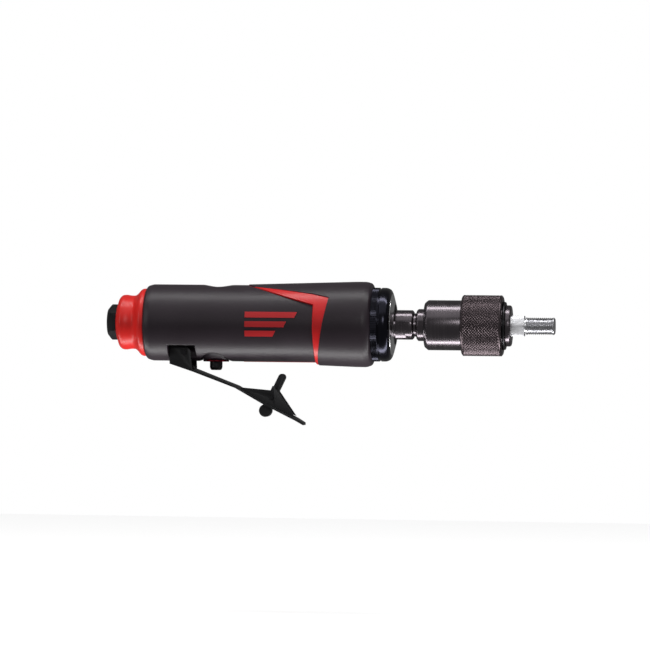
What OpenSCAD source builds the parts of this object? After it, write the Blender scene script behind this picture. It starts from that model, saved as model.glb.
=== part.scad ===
// Low-speed pneumatic die grinder with a lever throttle and a quick-release hex chuck.
// +X runs along the tool from the air inlet to the nose, +Z is up and the lever hangs towards -Z.
// The origin is the mouth of the air inlet, on the tool's axis. Millimetres.

/* [Inlet] */
// Width across the flats of the inlet bushing's hexagon
inlet_af = 17; // [16.5:0.1:17]
// Radius of the inlet thread's wall
inlet_r = 5.7; // [5:0.05:6]
// Depth of the inlet thread
inlet_depth = 12; // [10:0.5:12]
// Station of the exhaust ring's rear face
ring_x = 5.4; // [5.2:0.1:5.6]

/* [Grip] */
// Station where the rubber grip starts
grip_x0 = 21.9; // [21.7:0.1:22]
// Station where the rubber grip ends
grip_x1 = 147.9; // [147.6:0.1:148.2]
// Radius of the grip's rear panel
panel_r = 21.1; // [20.8:0.1:21.4]
// Radius of the grip's front zone at its widest
front_r = 23.5; // [23:0.1:23.8]
// Radius of the hard core under the rubber
core_r = 19.6; // [19.4:0.1:19.7]

/* [Lever] */
// Station of the lever's pivot pin
lever_x = 43.7; // [43.5:0.1:43.9]
// Height of the lever's pivot pin
lever_z = -16.2; // [-16.4:0.1:-16]
// Thickness of the lever's sheet
sheet_t = 1.5; // [1.2:0.1:1.6]
// Half the distance between the two pivot ears
ear_y = 8.6; // [8.5:0.05:8.7]
// Station of the throttle button
button_x = 60.4; // [60.2:0.1:60.6]
// Height of the throttle button's tip
button_z = -26; // [-26:0.1:-25.5]

/* [Motor] */
// Radius of the motor bore in the housing
bore_r = 16.1; // [16.08:0.01:16.15]
// Radius of the rotor
rotor_r = 12.2; // [12:0.05:12.25]
// Number of rotor vanes
vane_n = 5; // [4:1:6]
// Radius of the chamber that the rotor turns in
chamber_r = 13.4; // [13.3:0.05:13.5]

/* [Gears] */
// Gear module
gear_m = 0.65; // [0.64:0.005:0.66]
// Teeth on the sun pinion
sun_n = 12; // [12:3:12]
// Teeth on each planet gear
planet_n = 15; // [15:3:15]
// Number of planet gears
planets = 3; // [3:1:3]

/* [Spindle and chuck] */
// Radius of the spindle in its bearings
spindle_r = 7.5; // [7.4:0.05:7.5]
// Width across the spindle's wrench flats
flats_af = 13; // [12.5:0.1:14]
// Radius of the chuck body
chuck_r = 13.75; // [13.5:0.05:13.8]
// Radius of the chuck's sliding sleeve
sleeve_r = 16.8; // [16.4:0.1:17.2]
// Travel of the chuck's sliding sleeve
sleeve_travel = 5.5; // [5:0.1:5.5]

/* [Arbor] */
// Width across the flats of the arbor's hexagonal shank
arbor_af = 11.11; // [11:0.01:11.15]
// Radius of the arbor's threaded stud
stud_r = 4.75; // [4.5:0.05:4.8]
// Station of the stud's tip
nose_x = 247.9; // [246:0.1:250]

/* [Hidden] */
$fn = 64;
run = 0.05;        // radial running clearance
slip = 0.1;        // clearance between pieces that are only placed together

// Stations along the axis
block_x0 = 26;     // rear face of the valve block
block_x1 = 70;     // front face of the valve block
tube_x1 = 156.2;   // front end of the housing tube
rotor_x0 = 78.8;
rotor_x1 = 111.7;
gear_x0 = 121;
gear_x1 = 129;
ball_x = 212;      // plane of the chuck's locking balls
nose_end_x = 224;  // front end of the chuck body
hex_turn = 30;     // turn of the arbor's hexagon, with the balls at its corners

// Radii
block_r = 15.5;    // valve block
tube_r = 18.6;     // housing tube under the grip
collar_r = 20.35;
nose_r = 11.3;     // chuck body under the sleeve
shaft_r = 3.5;     // rotor shaft in its bearings
eccentric = 1;     // offset of the motor chamber above the axis
button_r = 3.5;    // throttle button
stem_r = 2.65;     // its stem in the valve bushing

// Gear train
ring_n = sun_n + 2 * planet_n;
planet_offset = gear_m * (sun_n + planet_n) / 2;
backlash = 0.1;

// ---------------------------------------------------------------- shared shapes

// A solid of revolution about the tool's axis; each point is [station, radius].
module turned(points) {
    rotate([0, 90, 0])
        rotate_extrude()
            polygon([for (p = points) [p[1], p[0]]]);
}

// A disc or rod along the tool's axis.
module rod(x0, x1, r) {
    translate([x0, 0, 0])
        rotate([0, 90, 0])
            cylinder(h = x1 - x0, r = r);
}

// A tube along the tool's axis.
module tube(x0, x1, r_out, r_in) {
    difference() {
        rod(x0, x1, r_out);
        rod(x0 - 1, x1 + 1, r_in);
    }
}

// A hexagonal bar along the tool's axis; at a turn of 0 two corners are on the vertical.
module hex_bar(x0, x1, af, turn = 0) {
    translate([x0, 0, 0])
        rotate([turn, 0, 0])
            rotate([0, 90, 0])
                cylinder(h = x1 - x0, r = af / sqrt(3), $fn = 6);
}

// An outline of [x, z] points given a thickness across the tool, from y0 to y1.
module side_plate(points, y0, y1) {
    translate([0, y1, 0])
        rotate([90, 0, 0])
            linear_extrude(y1 - y0)
                polygon(points);
}

// A pin across the tool.
module cross_pin(x, z, r, half) {
    translate([x, half, z])
        rotate([90, 0, 0])
            cylinder(h = 2 * half, r = r);
}

// A vertical rod at the throttle valve.
module valve_rod(z0, z1, r) {
    translate([button_x, 0, z0])
        cylinder(h = z1 - z0, r = r);
}

// A ring of round section about the tool's axis.
module o_ring(x, r_mid, r_wire) {
    translate([x, 0, 0])
        rotate([0, 90, 0])
            rotate_extrude()
                translate([r_mid, 0])
                    circle(r = r_wire, $fn = 24);
}

// Balls on a circle about the tool's axis.
module balls(x, r_mid, r_ball, count) {
    for (i = [0 : count - 1])
        rotate([i * 360 / count, 0, 0])
            translate([x, 0, r_mid])
                sphere(r = r_ball, $fn = 24);
}

// One ring of a deep-groove bearing; the groove is cut by the circle of the balls.
module bearing_ring(x0, x1, r_out, r_in, r_mid, r_ball) {
    difference() {
        tube(x0, x1, r_out, r_in);
        o_ring((x0 + x1) / 2, r_mid, r_ball + run);
    }
}

// A coil spring along +Z, swept as a hexagonal wire.
module coil_spring(r_coil, r_wire, length, turns, steps = 14) {
    sides = 6;
    rings = round(turns * steps);
    rise = length - 2 * r_wire;
    points = [
        for (i = [0 : rings])
            for (j = [0 : sides - 1])
                let (turn = 360 * i / steps, spin = 360 * j / sides)
                    let (reach = r_coil + r_wire * cos(spin))
                        [reach * cos(turn), reach * sin(turn),
                         r_wire + rise * i / rings + r_wire * sin(spin)]
    ];
    walls = [
        for (i = [0 : rings - 1])
            for (j = [0 : sides - 1])
                let (a = i * sides + j, b = i * sides + (j + 1) % sides)
                    [a, a + sides, b + sides, b]
    ];
    start = [for (j = [0 : sides - 1]) j];
    finish = [for (j = [0 : sides - 1]) rings * sides + sides - 1 - j];
    polyhedron(points = points, faces = concat(walls, [start, finish]));
}

// ---------------------------------------------------------------- gear outlines

function involute(angle) = tan(angle) * 180 / PI - angle;
function base_r(teeth) = gear_m * teeth / 2 * cos(20);

// Half the angle that a tooth fills at radius r.
function tooth_half(teeth, r) =
    let (pitch_r = gear_m * teeth / 2)
    let (safe_r = max(r, base_r(teeth)))
    90 / teeth
        + involute(20)
        - involute(acos(base_r(teeth) / safe_r))
        - (backlash / 2) / pitch_r * 180 / PI
        - max(0, base_r(teeth) - r) * 4;

function flank_r(teeth, low, high, k) =
    gear_m * teeth / 2 + gear_m * (low + (high - low) * k / 4);

// The outline of a gear: low and high are its root and tip in modules from the pitch circle.
function gear_outline(teeth, low, high) = [
    for (t = [0 : teeth - 1])
        for (k = [0 : 9])
            let (rising = k < 5)
            let (r = flank_r(teeth, low, high, rising ? k : 9 - k))
            let (side = rising ? -1 : 1)
            let (a = t * 360 / teeth + side * tooth_half(teeth, r))
                [r * cos(a), r * sin(a)]
];

// The hole of an internal gear is the outline of a gear whose teeth are the ring's spaces.
function ring_space_half(r) =
    90 / ring_n
        + involute(20)
        - involute(acos(min(1, base_r(ring_n) / r)))
        + (backlash / 2) / (gear_m * ring_n / 2) * 180 / PI;

function ring_outline() = [
    for (t = [0 : ring_n - 1])
        for (k = [0 : 9])
            let (rising = k < 5)
            let (r = flank_r(ring_n, -0.85, 1.2, rising ? k : 9 - k))
            let (side = rising ? -1 : 1)
            let (a = t * 360 / ring_n + side * ring_space_half(r))
                [r * cos(a), r * sin(a)]
];

module gear(x0, x1, teeth, bore, turn) {
    translate([x0, 0, 0])
        rotate([0, 90, 0])
            rotate([0, 0, turn])
                difference() {
                    linear_extrude(x1 - x0)
                        polygon(gear_outline(teeth, -1.2, 0.85));
                    translate([0, 0, -1])
                        cylinder(h = x1 - x0 + 2, r = bore);
                }
}

// ---------------------------------------------------------------- housing and grip

// The body's outside behind the stripe, and in front of it.
panel_profile = [
    [grip_x0, 0], [grip_x0, 19.2], [22.6, 20.1], [23.8, 20.7], [25.5, panel_r],
    [122, panel_r], [122, 0]
];
front_profile = [
    [70, 0], [70, panel_r + 0.2], [81, panel_r + 0.5], [139, front_r], [143, front_r],
    [145.4, front_r - 0.5], [147.1, 21.9], [grip_x1, 20.8], [grip_x1, 0]
];
// The red band between the two, seen from the side.
stripe = [
    [75.1, 21.9], [97.8, 19.1], [115.2, 16.5], [124.8, 14.4], [121.9, 0.3], [119.7, -12.4],
    [117.7, -25], [116.5, -25], [116.7, -15.1], [116.4, -2.5], [116.4, 10.1], [102.6, 13.9]
];
// Everything in front of the band.
front_zone = [
    [75.1, 21.9], [97.8, 19.1], [115.2, 16.5], [124.8, 14.4], [121.9, 0.3], [119.7, -12.4],
    [117.7, -25], [151, -25], [151, 26], [75.1, 26]
];

pocket_x0 = 35.2;
pocket_x1 = 51;
pocket_z = -12.3;
cheek_y = ear_y - 0.3;
seat_r = 9.3;      // boss round the throttle button

// The two pockets that the lever's ears swing in; inner is their distance from the middle.
module ear_pockets(inner) {
    for (s = [-1, 1])
        translate([pocket_x0, s > 0 ? inner : -30, -30])
            cube([pocket_x1 - pocket_x0, 30 - inner, 30 + pocket_z]);
}

// A finger scoop on each side of the throttle button, and the flat seat of its retainer.
module scoop() {
    difference() {
        translate([button_x, 30, -26.1])
            rotate([90, 0, 0])
                cylinder(h = 60, r = 9.9);
        valve_rod(-30, -10, seat_r);
    }
    valve_rod(-30, -20.25, seat_r + 0.1);
}

module motor_housing() {
    color("silver")
        difference() {
            union() {
                rod(block_x0, block_x1, block_r);
                rod(block_x1, 146.95, tube_r);
                rod(146.9, tube_x1, 18.2);
                intersection() {
                    rod(pocket_x0 + slip, pocket_x1 - 0.5, core_r - 0.2);
                    translate([pocket_x0, -cheek_y + 0.1, -21])
                        cube([pocket_x1 - pocket_x0, 2 * cheek_y - 0.2, 10]);
                }
            }
            rod(71, tube_x1 + 1, bore_r);
            rod(block_x0 - 1, 38, 8 + run);
            rod(block_x0 - 1, 27.8, 9.8);
            rod(37, button_x, 4.4);
            valve_rod(-20, 8, 6.15);
            translate([0, 0, -7])
                rod(button_x, 72, 2.5);
            for (s = [-1, 1])
                for (a = [25, 65])
                    rotate([s * a, 0, 0])
                        translate([0, 0, 12.6])
                            rod(block_x0 - 1, 72, 1.8);
            cross_pin(lever_x, lever_z, 1.5 + run, 12);
        }
}

module grip_core() {
    color("firebrick")
        difference() {
            union() {
                rod(block_x0, 146.8, core_r);
                intersection() {
                    turned([[70, 0], [70, 21.15], [140, 22.9], [140, 0]]);
                    side_plate(stripe, -30, 30);
                }
                intersection() {
                    rod(76, 117, panel_r - 0.02);
                    translate([76, -2, -22])
                        cube([41, 4, 4]);
                }
            }
            rod(block_x0 - 1, block_x1 + 0.1, block_r + run);
            rod(block_x1, 150, tube_r + run);
            translate([pocket_x0, -30, -30])
                cube([pocket_x1 - pocket_x0, 60, 30 + pocket_z]);
            scoop();
            valve_rod(-22, -12, 6.2 + run);
        }
}

module grip_skin() {
    color([0.17, 0.16, 0.18])
        difference() {
            union() {
                turned(panel_profile);
                intersection() {
                    turned(front_profile);
                    side_plate(front_zone, -30, 30);
                }
            }
            rod(grip_x0 - 1, block_x0 + 1, block_r + run);
            rod(block_x0 - run, 146.9, core_r + run);
            rod(146.8, 151, collar_r + slip);
            side_plate(stripe, -30, 30);
            translate([76 - run, -2 - run, -24])
                cube([41 + 2 * run, 4 + 2 * run, 6]);
            ear_pockets(cheek_y);
            scoop();
            valve_rod(-22, -12, 6.2 + run);
            translate([61.5, 30, 44])
                rotate([90, 0, 0])
                    cylinder(h = 60, r = 24);
        }
}

// Three stacked bars of falling length on each side of the grip.
module side_mark() {
    color("crimson")
        intersection() {
            tube(75, 112, panel_r + 0.3, panel_r + 0.02);
            for (i = [0 : 2])
                side_plate([
                    [79, 6.4 - 5.2 * i], [108 - 6 * i, 6.4 - 5.2 * i],
                    [106.4 - 6 * i, 3.2 - 5.2 * i], [79, 3.2 - 5.2 * i]
                ], -30, 30);
        }
}

module exhaust_ring() {
    color("red")
        difference() {
            turned([
                [ring_x, 0], [ring_x, 9.95], [6.1, 11.4], [6.8, 13.6], [7.9, 14.8], [10.2, 15.2],
                [12.4, 14.8], [15.6, 14.8], [16.6, 15.7], [17.7, 16.8], [18.9, 18.2],
                [20, 18.7], [grip_x0 - 0.05, 18.7], [grip_x0 - 0.05, 0]
            ]);
            rod(3, 6.2, inlet_af / sqrt(3) + slip);
            rod(6, 9, 9 + run);
            turned([[8.2, 0], [8.2, 13], [14, 13], [18, 15], [22, 17], [22, 0]]);
            for (i = [0 : 11])
                rotate([i * 30 + 15, 0, 0])
                    translate([0, 0, 12])
                        rod(3, 9, 1);
        }
}

module exhaust_felt() {
    color("tan")
        tube(8.4, 20.5, 12.8, 9.15);
}

// ---------------------------------------------------------------- inlet and throttle valve

module inlet_bushing() {
    color([0.12, 0.12, 0.13])
        difference() {
            union() {
                intersection() {
                    hex_bar(0, 6.2, inlet_af);
                    turned([[0, 0], [0, 7.2], [2.2, inlet_af / sqrt(3) + 0.1],
                            [7, inlet_af / sqrt(3) + 0.1], [7, 0]]);
                }
                rod(6.1, block_x0 - 0.02, 9);
                rod(block_x0 - 0.1, 37.5, 8);
            }
            rod(-1, inlet_depth, inlet_r);
            rod(inlet_depth - 1, 13.5, 5.2);
            rod(13, 40, 4.4);
        }
}

module inlet_screen() {
    color("goldenrod")
        difference() {
            rod(inlet_depth + 0.2, 13.4, 5.15);
            for (row = [-3 : 3])
                for (col = [-3 : 3])
                    if (row * row + col * col < 11)
                        translate([inlet_depth - 1, row * 1.3, col * 1.3])
                            rotate([0, 90, 0])
                                cylinder(h = 4, r = 0.45, $fn = 6);
        }
}

module inlet_o_ring() {
    color([0.1, 0.1, 0.1])
        o_ring(26.9, 8.9, 0.85);
}

module valve_bushing() {
    color("goldenrod")
        difference() {
            valve_rod(-13.5, -4, 6.1);
            valve_rod(-14, -3, stem_r + run);
            valve_rod(-10, -3, 3.2);
            valve_rod(-12.6, -11.2, 4);
            translate([0, 0, -7])
                rod(button_x, button_x + 8, 2);
        }
}

module valve_retainer() {
    color("darkred")
        difference() {
            union() {
                valve_rod(-21.3, -20.3, 7.15);
                valve_rod(-20.5, -13.6, 6.1);
            }
            valve_rod(-22, -13, button_r + run);
        }
}

module valve_spring() {
    color("lightgray")
        translate([button_x, 0, -1.35])
            coil_spring(3, 0.4, 9.2, 5);
}

module valve_o_ring() {
    color([0.1, 0.1, 0.1])
        translate([button_x, 0, -11.9])
            rotate_extrude()
                translate([3.35, 0])
                    circle(r = 0.55, $fn = 24);
}

module valve_stem() {
    color([0.1, 0.1, 0.11])
        translate([button_x, 0, 0])
            rotate_extrude()
                polygon([
                    [0, button_z], [2, button_z], [3, button_z + 0.45], [button_r, button_z + 1.2],
                    [button_r, -15.2], [stem_r, -15.2], [stem_r, -10.2],
                    [1.2, -9.6], [1.2, -3], [0, -3]
                ]);
}

module valve_poppet() {
    color("dimgray")
        difference() {
            valve_rod(-3.95, -1.4, 4.3);
            valve_rod(-4.5, -2.95, 1.2 + 0.02);
        }
}

// ---------------------------------------------------------------- throttle lever and its lock

// The strap's underside, from the ears to the tip.
strap_line = [
    [35.9, -22.7], [49.6, -27.2], [72.4, -35.8], [87.9, -44.5], [105.3, -53.1], [109.9, -55.8]
];
strap_rise = 1.3;   // the strap's thickness along Z
slot_y = 4;
lock_x = 92;
lock_z = -40.8;
lock_tilt = 64.5;  // direction of the lock lever's arm above +X

module strap_side() {
    lifted = [for (i = [len(strap_line) - 1 : -1 : 0]) strap_line[i] + [0, strap_rise]];
    polygon(concat(strap_line, lifted));
}

// The strap seen from above: full width at the ears, narrower towards the tip.
module strap_plan() {
    polygon([
        [35, -ear_y - sheet_t], [52, -ear_y - sheet_t], [66, -8.2], [104, -8.2], [109.4, -6.5],
        [111, -4], [111, 4], [109.4, 6.5], [104, 8.2], [66, 8.2], [52, ear_y + sheet_t],
        [35, ear_y + sheet_t]
    ]);
}

module throttle_lever() {
    color([0.1, 0.1, 0.11])
        difference() {
            union() {
                intersection() {
                    translate([0, 20, 0])
                        rotate([90, 0, 0])
                            linear_extrude(40)
                                strap_side();
                    translate([0, 0, -70])
                        linear_extrude(60)
                            strap_plan();
                }
                for (s = [-1, 1]) {
                    y0 = s > 0 ? ear_y : -ear_y - sheet_t;
                    side_plate([
                        [35.9, -22.3], [35.7, -14], [36.4, -13.3], [44.6, -13.3], [46.4, -14],
                        [47.6, -15.6], [48.2, -25.5]
                    ], y0, y0 + sheet_t);
                    y1 = s > 0 ? slot_y : -slot_y - 1.3;
                    side_plate([
                        [75.1, -35.6], [91.5, -37], [92.6, -34.4], [93.4, -34.4],
                        [104.8, -50.9], [87.9, -43.6], [75.1, -36.6]
                    ], y1, y1 + 1.3);
                }
            }
            translate([77.5, -slot_y, -60])
                cube([27, 2 * slot_y, 30]);
            cross_pin(lever_x, lever_z, 1.5 + run, 20);
            cross_pin(lock_x, lock_z, 1.2 + run, 20);
        }
}

module lever_pin() {
    color("gray")
        cross_pin(lever_x, lever_z, 1.5, ear_y + sheet_t + 0.5);
}

module lock_pin() {
    color("gray")
        cross_pin(lock_x, lock_z, 1.2, slot_y + 1.8);
}

module lock_spring() {
    color("lightgray")
        translate([lock_x, slot_y - 0.05, lock_z])
            rotate([90, 0, 0])
                coil_spring(1.75, 0.18, 1.2, 1.75);
}

module lock_lever() {
    half = 2.65;
    arm_r = 1.95;
    color([0.12, 0.12, 0.13])
        translate([lock_x, half, lock_z])
            rotate([90, 0, 0])
                rotate([0, 0, lock_tilt])
                    difference() {
                        union() {
                            translate([-8.1, 0.2, 0])
                                cylinder(h = 2 * half, r = 3.5);
                            translate([-8.1, -2.6, 0])
                                cube([8.1, 5.2, 2 * half]);
                            cylinder(h = 2 * half, r = 2.6);
                            translate([0, -arm_r, 0])
                                cube([12.4, 2 * arm_r, 2 * half]);
                            translate([12.4, 0, 0])
                                cylinder(h = 2 * half, r = arm_r);
                        }
                        translate([0, 0, -1])
                            cylinder(h = 2 * half + 2, r = 1.2 + run);
                    }
}

// ---------------------------------------------------------------- air motor

module rear_end_plate() {
    color("slategray")
        difference() {
            rod(71.1, 78.5, bore_r - run);
            rod(70, 77, 9.5 + run);
            rod(76, 80, 4.2);
            translate([0, 0, -13])
                rod(70, 80, 1.8);
        }
}

module cylinder_liner() {
    color("gray")
        difference() {
            rod(78.6, 111.9, bore_r - run);
            translate([0, 0, eccentric])
                rod(78, 113, chamber_r);
            for (a = [-60, 60, 120, 240])
                rotate([a, 0, 0])
                    for (x = [86, 95, 104])
                        translate([x, 0, 11])
                            cylinder(h = 8, r = 1.4);
        }
}

module front_end_plate() {
    color("slategray")
        difference() {
            rod(112, 119.6, bore_r - run);
            rod(113.6, 120, 9.5 + run);
            rod(111, 114, 4.2);
            rotate([150, 0, 0])
                translate([0, 0, 14.4])
                    rod(111, 115, 0.85);
        }
}

// The dowel that keeps the liner from turning in the front plate.
module liner_dowel() {
    color("lightgray")
        rotate([150, 0, 0])
            translate([0, 0, 14.4])
                rod(112.02, 115, 0.8);
}

module rotor() {
    color("dimgray")
        difference() {
            union() {
                rod(rotor_x0, rotor_x1, rotor_r);
                rod(71.2, 119.6, shaft_r);
                rod(119.5, 129.3, 2.15);
            }
            for (i = [0 : vane_n - 1])
                rotate([i * 360 / vane_n, 0, 0])
                    translate([rotor_x0 - 1, -1, rotor_r - 6])
                        cube([rotor_x1 - rotor_x0 + 2, 2, 10]);
        }
}

module rotor_vanes() {
    color("peru")
        for (i = [0 : vane_n - 1])
            rotate([i * 360 / vane_n, 0, 0])
                translate([rotor_x0 + 0.1, -0.95, rotor_r - 5.8])
                    cube([rotor_x1 - rotor_x0 - 0.2, 1.9, 5.6]);
}

module sun_pinion() {
    color("lightsteelblue")
        gear(119.8, 129.3, sun_n, 2.2, 0);
}

module ring_gear() {
    color("slategray")
        difference() {
            rod(120.1, 129.6, bore_r - run);
            translate([119, 0, 0])
                rotate([0, 90, 0])
                    linear_extrude(12)
                        polygon(ring_outline());
        }
}

module planet_gear(k) {
    color("lightsteelblue")
        translate([0, planet_offset * sin(k * 360 / planets), -planet_offset * cos(k * 360 / planets)])
            gear(gear_x0, gear_x1, planet_n, 1.8 + run, k * 360 / planets + 180 + 180 / planet_n);
}
module planet_gear_1() { planet_gear(0); }
module planet_gear_2() { planet_gear(1); }
module planet_gear_3() { planet_gear(2); }

module planet_pins() {
    color("gray")
        for (k = [0 : planets - 1])
            rotate([k * 360 / planets, 0, 0])
                translate([0, 0, -planet_offset])
                    rod(120.3, 134.8, 1.8);
}

module gear_spacer() {
    color("gray")
        tube(129.7, 134.6, bore_r - run, 14.2);
}

module wave_washer() {
    color("lightgray")
        tube(134.7, 135.9, 15.9, 14);
}

// ---------------------------------------------------------------- bearings

// A bearing: outside radius, outer ring's bore, inner ring's outside, ball circle, ball radius, width.
motor_bearing = [9.5, 7.6, 5.2, 6.4, 1.15, 5.7];
spindle_bearing = [16, 13.6, 9.9, 11.75, 2.3, 9];
rear_bearing_x = 71.2;
front_bearing_x = 113.7;
spindle_rear_x = 136;
spindle_front_x = 147.1;

module outer_ring(x, b) {
    color("lightgray")
        bearing_ring(x, x + b[5], b[0], b[1], b[3], b[4]);
}

module inner_ring(x, b, shaft) {
    color("lightgray")
        bearing_ring(x, x + b[5], b[2], shaft + 0.02, b[3], b[4]);
}

module ball_set(x, b, count) {
    color("white")
        balls(x + b[5] / 2, b[3], b[4], count);
}

module rear_bearing_outer() { outer_ring(rear_bearing_x, motor_bearing); }
module rear_bearing_inner() { inner_ring(rear_bearing_x, motor_bearing, shaft_r); }
module rear_bearing_balls() { ball_set(rear_bearing_x, motor_bearing, 7); }
module front_bearing_outer() { outer_ring(front_bearing_x, motor_bearing); }
module front_bearing_inner() { inner_ring(front_bearing_x, motor_bearing, shaft_r); }
module front_bearing_balls() { ball_set(front_bearing_x, motor_bearing, 7); }
module spindle_bearing_rear_outer() { outer_ring(spindle_rear_x, spindle_bearing); }
module spindle_bearing_rear_inner() { inner_ring(spindle_rear_x, spindle_bearing, spindle_r); }
module spindle_bearing_rear_balls() { ball_set(spindle_rear_x, spindle_bearing, 9); }
module spindle_bearing_front_outer() { outer_ring(spindle_front_x, spindle_bearing); }
module spindle_bearing_front_inner() { inner_ring(spindle_front_x, spindle_bearing, spindle_r); }
module spindle_bearing_front_balls() { ball_set(spindle_front_x, spindle_bearing, 9); }

module bearing_spacer() {
    color("gray")
        tube(145.1, 147, 16, 14);
}

// ---------------------------------------------------------------- nose of the housing

module clamp_collar() {
    color([0.1, 0.11, 0.16])
        difference() {
            turned([
                [147, 0], [147, collar_r], [154.2, collar_r], [156, collar_r - 0.5],
                [157.2, collar_r - 1.5], [158, collar_r - 2.6], [158.3, 17.1], [158.3, 0]
            ]);
            rod(146, 157.1, 18.2 + run);
            rod(157, 160, 17.05);
        }
}

module bearing_cap() {
    color("gainsboro")
        difference() {
            turned([
                [156.3, 0], [156.3, 18.1], [157, 18.1], [157, 17], [158.4, 17], [160, 11.4], [160, 0]
            ]);
            rod(155, 161, 11.05);
        }
}

module shaft_seal() {
    color([0.1, 0.1, 0.1])
        tube(156.4, 159.8, 11, 8.1 + 0.06);
}

module spindle() {
    color("dimgray")
        difference() {
            union() {
                rod(130.3, 135, 13.5);
                rod(134.9, 156.3, spindle_r);
                turned([
                    [156.2, 0], [156.2, 8.1], [169.5, 8.1], [170.3, 7.2], [170.3, 6.4],
                    [171.7, 6.4], [171.7, 5.5], [184, 5.5], [184, 0]
                ]);
            }
            rod(129, 131.5, 3);
            for (k = [0 : planets - 1])
                rotate([k * 360 / planets, 0, 0])
                    translate([0, 0, -planet_offset])
                        rod(129, 136, 1.8 + 0.02);
            for (s = [0, 180])
                rotate([-65.5 + s, 0, 0])
                    translate([160.4, -10, flats_af / 2])
                        cube([5.7, 20, 10]);
        }
}

// ---------------------------------------------------------------- quick-release chuck

module chuck_body() {
    color("dimgray")
        difference() {
            turned([
                [171.8, 0], [171.8, 7.8], [172.6, 8.8], [176.3, 8.8], [176.3, 12.2], [178.2, chuck_r],
                [200, chuck_r], [200, nose_r], [219.4, nose_r], [219.4, 10.8], [221, 10.8],
                [221, nose_r], [223.4, nose_r], [nose_end_x, 10.7], [nose_end_x, 0]
            ]);
            rod(170, 184.2, 5.5 + run);
            rod(184, 199, 4.5);
            hex_bar(198, 226, arbor_af + 0.12, hex_turn);
            for (i = [0 : 2])
                rotate([i * 120 + hex_turn, 0, 0])
                    translate([ball_x, 0, 4])
                        rotate([0, 0, 37])
                            cylinder(h = 10, r = 2.8 + run);
        }
}

module lock_balls() {
    color("white")
        rotate([hex_turn, 0, 0])
            balls(ball_x, 8.55, 2.8, 3);
}

module sleeve_spring() {
    color("lightgray")
        translate([200.1, 0, 0])
            rotate([0, 90, 0])
                coil_spring(12.55, 0.5, 9.2, 3, 24);
}

module retaining_ring() {
    color("gainsboro")
        tube(219.5, 220.9, 13.2, 10.85);
}

module chuck_sleeve() {
    color([0.3, 0.25, 0.26])
        difference() {
            turned([
                [196.9, 0], [196.9, 15.9], [197.8, sleeve_r], [218.3, sleeve_r], [219.3, 15.8], [219.3, 0]
            ]);
            rod(196, 209.4, chuck_r + slip);
            rod(209, 220, nose_r + slip + run);
            rod(214.9, 220, 13.3);
        }
}

module arbor() {
    color("gainsboro")
        difference() {
            union() {
                intersection() {
                    hex_bar(198.6, 231.2, arbor_af, hex_turn);
                    turned([
                        [198.6, 0], [198.6, 5.2], [199.8, 7], [230.6, 7], [231.2, 6.2], [231.2, 0]
                    ]);
                }
                turned([
                    [231, 0], [231, 4.1], [232, 4.1], [232, stud_r], [nose_x - 0.7, stud_r],
                    [nose_x, stud_r - 0.7], [nose_x, 0]
                ]);
            }
            difference() {
                rod(ball_x - 3.1, ball_x + 3.1, 8);
                rod(ball_x - 4, ball_x + 4, 5.68);
            }
        }
}

motor_housing();
grip_core();
grip_skin();
side_mark();
exhaust_ring();
exhaust_felt();
inlet_bushing();
inlet_screen();
inlet_o_ring();
valve_bushing();
valve_retainer();
valve_spring();
valve_o_ring();
lever_pin();
rear_end_plate();
cylinder_liner();
front_end_plate();
liner_dowel();
ring_gear();
gear_spacer();
wave_washer();
rear_bearing_outer();
rear_bearing_balls();
front_bearing_outer();
front_bearing_balls();
spindle_bearing_rear_outer();
spindle_bearing_rear_balls();
spindle_bearing_front_outer();
spindle_bearing_front_balls();
bearing_spacer();
clamp_collar();
bearing_cap();
shaft_seal();
throttle_lever();
lock_pin();
lock_spring();
lock_lever();
valve_stem();
valve_poppet();
rotor();
rotor_vanes();
sun_pinion();
rear_bearing_inner();
front_bearing_inner();
spindle();
planet_pins();
spindle_bearing_rear_inner();
spindle_bearing_front_inner();
chuck_body();
lock_balls();
sleeve_spring();
retaining_ring();
planet_gear_1();
planet_gear_2();
planet_gear_3();
chuck_sleeve();
arbor();
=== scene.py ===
"""The looks of a low-speed die grinder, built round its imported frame."""

import logging
import math
from dataclasses import dataclass, field
from enum import Enum
from typing import Callable, Sequence

import bmesh
import bpy
from mathutils import Matrix, Quaternion, Vector


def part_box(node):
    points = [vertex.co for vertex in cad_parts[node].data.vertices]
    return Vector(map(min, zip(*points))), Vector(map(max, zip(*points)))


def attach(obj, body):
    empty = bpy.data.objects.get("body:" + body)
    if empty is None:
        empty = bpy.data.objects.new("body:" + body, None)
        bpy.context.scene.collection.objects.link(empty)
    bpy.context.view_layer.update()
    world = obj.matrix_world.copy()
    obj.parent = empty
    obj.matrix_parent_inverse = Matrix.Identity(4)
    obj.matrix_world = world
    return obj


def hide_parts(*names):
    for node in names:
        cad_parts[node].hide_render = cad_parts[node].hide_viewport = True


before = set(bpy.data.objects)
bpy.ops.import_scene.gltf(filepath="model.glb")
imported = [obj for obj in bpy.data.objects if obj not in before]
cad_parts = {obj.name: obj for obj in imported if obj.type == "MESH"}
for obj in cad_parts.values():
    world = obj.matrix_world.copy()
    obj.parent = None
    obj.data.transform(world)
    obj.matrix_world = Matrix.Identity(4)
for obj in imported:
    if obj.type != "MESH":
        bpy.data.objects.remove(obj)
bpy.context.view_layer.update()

logging.basicConfig(level=logging.INFO, format="%(name)s: %(message)s")
log = logging.getLogger("die_grinder")

MM = 0.001
Profile = list[tuple[float, float]]


# ------------------------------------------------------------------ shader graph

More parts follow.
